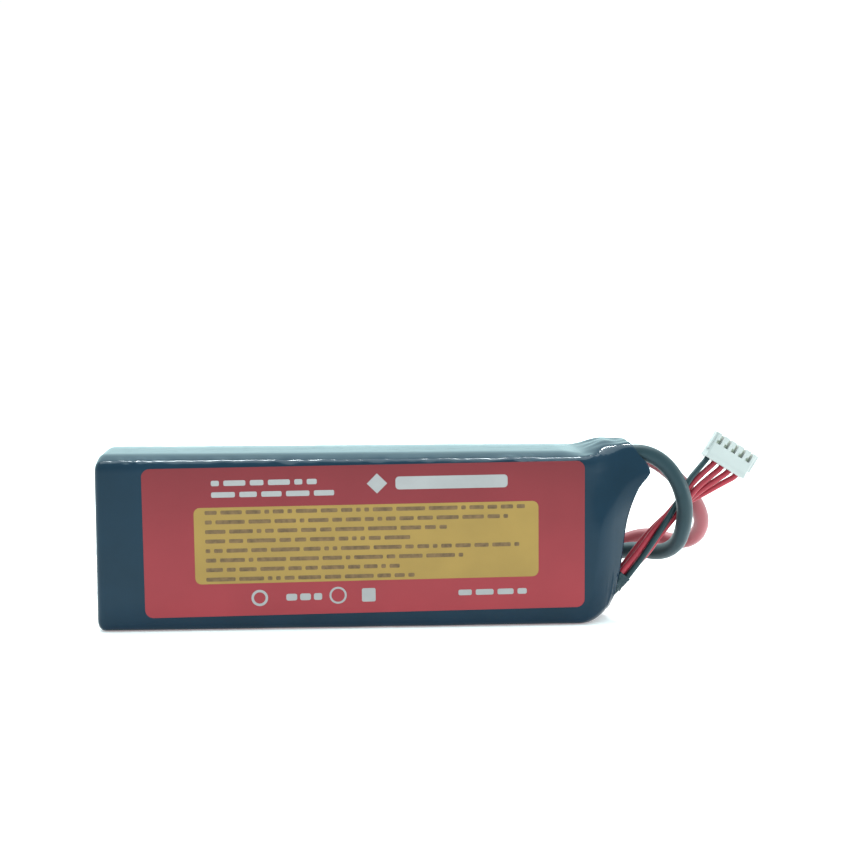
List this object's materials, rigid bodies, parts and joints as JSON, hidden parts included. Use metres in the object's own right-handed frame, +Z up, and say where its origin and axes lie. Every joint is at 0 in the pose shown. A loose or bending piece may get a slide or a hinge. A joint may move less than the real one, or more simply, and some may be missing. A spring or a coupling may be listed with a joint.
{
  "type": "lithium polymer battery pack",
  "caption": "Brick-shaped battery pack in dark shrink film, standing on its long edge, with a printed label, two looped power leads and a balance connector on thin wires.",
  "frame": {"origin": "middle of the wrapped pack, on the surface it stands on; the leads and connectors aren't counted", "axes": "+X along the pack's length, towards the end the leads come out of; -Y is the labelled face; +Z up"},
  "size_m": [0.1878, 0.0486, 0.0532],
  "materials": {
    "film": "dark shrink film, glossy",
    "label": "printed label, satin",
    "pouch": "matt laminated foil",
    "tab_aluminium": "bare strip",
    "tab_nickel": "bare strip",
    "foam": "white foam tape",
    "fibre_tape": "glass fibre tape",
    "side_board": "glass fibre laminate",
    "pad": "black foam",
    "circuit_board": "green circuit board",
    "solder": "solder",
    "lead_black": "silicone, satin",
    "lead_red": "silicone, satin",
    "wire_black": "silicone, satin",
    "wire_red": "silicone, satin",
    "black_sleeve": "shrink tube",
    "red_sleeve": "shrink tube",
    "plug_plastic": "moulded nylon, satin",
    "gold": "gold plated",
    "housing_plastic": "moulded nylon",
    "tin": "tin plated"
  },
  "bodies": {
    "root": {"shrink_wrap": "film", "front_label": "label", "back_label": "label", "cell_1": "pouch", "cell_1_positive_tab": "tab_aluminium", "cell_1_negative_tab": "tab_nickel", "cell_2": "pouch", "cell_2_positive_tab": "tab_aluminium", "cell_2_negative_tab": "tab_nickel", "cell_3": "pouch", "cell_3_positive_tab": "tab_aluminium", "cell_3_negative_tab": "tab_nickel", "cell_4": "pouch", "cell_4_positive_tab": "tab_aluminium", "cell_4_negative_tab": "tab_nickel", "foam_tape_1": "foam", "fibre_band_1": "fibre_tape", "foam_tape_2": "foam", "fibre_band_2": "fibre_tape", "foam_tape_3": "foam", "fibre_band_3": "fibre_tape", "front_side_board": "side_board", "back_side_board": "side_board", "rear_pad": "pad", "lead_end_pad": "pad", "series_board": "circuit_board", "solder_joints": "solder", "power_lead_negative": "lead_black", "power_lead_positive": "lead_red", "balance_wire_1": "wire_black", "balance_wire_2": "wire_red", "balance_wire_3": "wire_red", "balance_wire_4": "wire_red", "balance_wire_5": "wire_red", "balance_sleeve": "black_sleeve", "lead_sleeve_negative": "black_sleeve", "lead_sleeve_positive": "red_sleeve", "power_plug": "plug_plastic", "socket_negative": "gold", "socket_positive": "gold", "balance_housing": "housing_plastic", "balance_contacts": "tin"}
  },
  "joints": []
}
